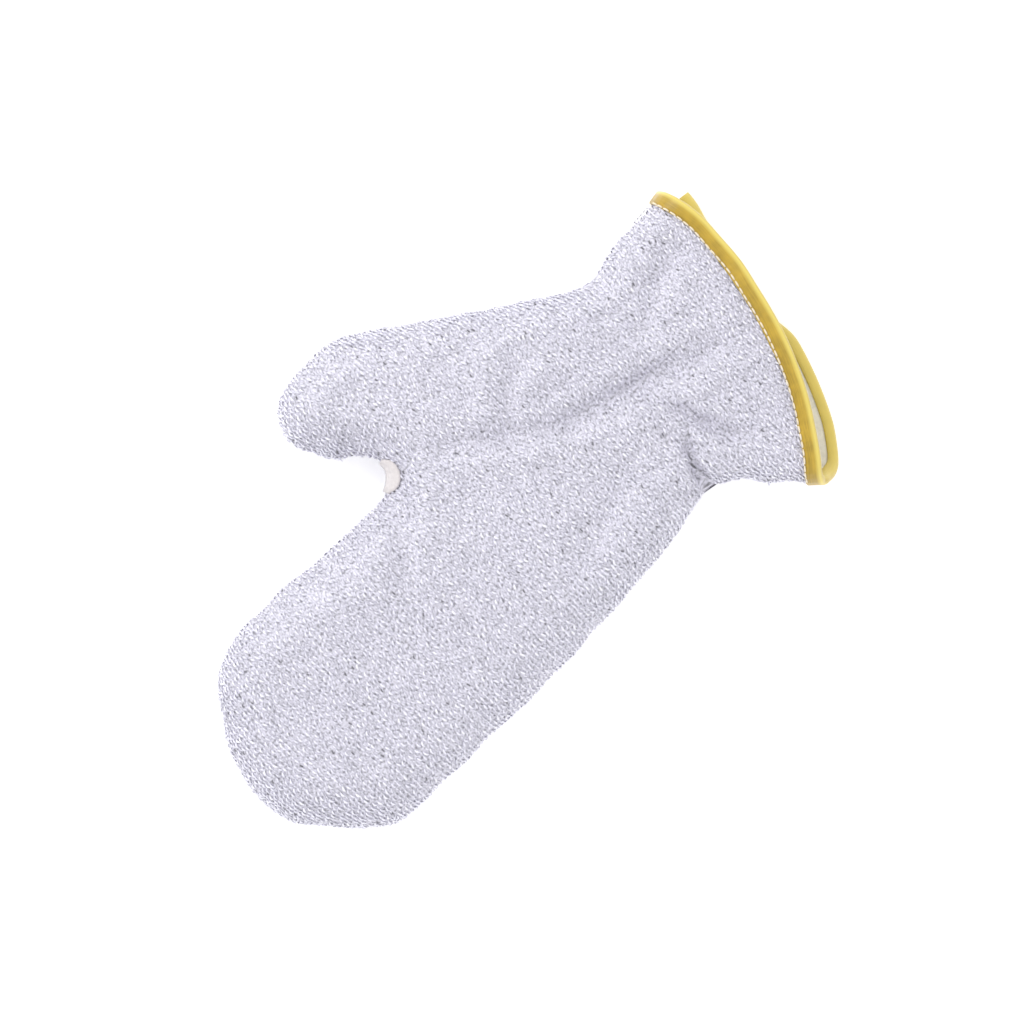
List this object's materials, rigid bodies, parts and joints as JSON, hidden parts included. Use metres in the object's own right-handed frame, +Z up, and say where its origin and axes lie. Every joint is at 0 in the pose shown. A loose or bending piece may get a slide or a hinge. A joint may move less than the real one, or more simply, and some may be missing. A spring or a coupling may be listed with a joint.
{
  "type": "lined cleaning mitt",
  "caption": "Lined mitt knitted from silvery metallised yarn, with a thumb, an elasticated wrist and a flared cuff bound in gold satin.",
  "frame": {"origin": "on the surface the mitt lies on, under the middle of its bounding box", "axes": "+Y from the cuff to the fingertips, +X to the thumb side, +Z up through the palm side"},
  "size_m": [0.176, 0.2808, 0.036],
  "materials": {
    "shell_knit": "open knit of metallised film yarn, silvery white, glittering",
    "liner_cloth": "brushed cream cotton knit, matt",
    "satin": "gold satin bias tape, glossy",
    "elastic": "white ribbed braided elastic",
    "white_thread": "spun polyester sewing thread, white",
    "gold_thread": "spun polyester sewing thread, pale gold"
  },
  "bodies": {
    "hand": {"shell_front_hand": "shell_knit", "shell_back_hand": "shell_knit", "liner_front_hand": "liner_cloth", "liner_back_hand": "liner_cloth", "shell_seam_hand": "shell_knit", "liner_seam_hand": "liner_cloth", "wrist_elastic": "elastic", "elastic_stitching": "white_thread"},
    "fingers": {"shell_front_fingers": "shell_knit", "shell_back_fingers": "shell_knit", "liner_front_fingers": "liner_cloth", "liner_back_fingers": "liner_cloth", "shell_seam_fingers": "shell_knit", "liner_seam_fingers": "liner_cloth"},
    "thumb": {"shell_front_thumb": "shell_knit", "shell_back_thumb": "shell_knit", "liner_front_thumb": "liner_cloth", "liner_back_thumb": "liner_cloth", "shell_seam_thumb": "shell_knit", "liner_seam_thumb": "liner_cloth"},
    "cuff": {"shell_front_cuff": "shell_knit", "shell_back_cuff": "shell_knit", "liner_front_cuff": "liner_cloth", "liner_back_cuff": "liner_cloth", "shell_seam_cuff": "shell_knit", "liner_seam_cuff": "liner_cloth", "hem_binding": "satin", "binding_stitching": "gold_thread", "bar_tack": "white_thread"}
  },
  "joints": [
    {"name": "finger_fold", "type": "hinge", "parent": "hand", "child": "fingers", "pos_m": [-0.01491, 0.04339, 0.0358], "axis": [1, 0, 0], "range_deg": [0, 60]},
    {"name": "thumb_fold", "type": "hinge", "parent": "hand", "child": "thumb", "pos_m": [0.03168, -0.03632, 0.0312], "axis": [-0.0529, -0.9986, 0], "range_deg": [0, 60]},
    {"name": "cuff_fold", "type": "hinge", "parent": "hand", "child": "cuff", "pos_m": [-0.01528, -0.08428, 0.0294], "axis": [-0.9588, 0.284, 0], "range_deg": [0, 45]}
  ]
}
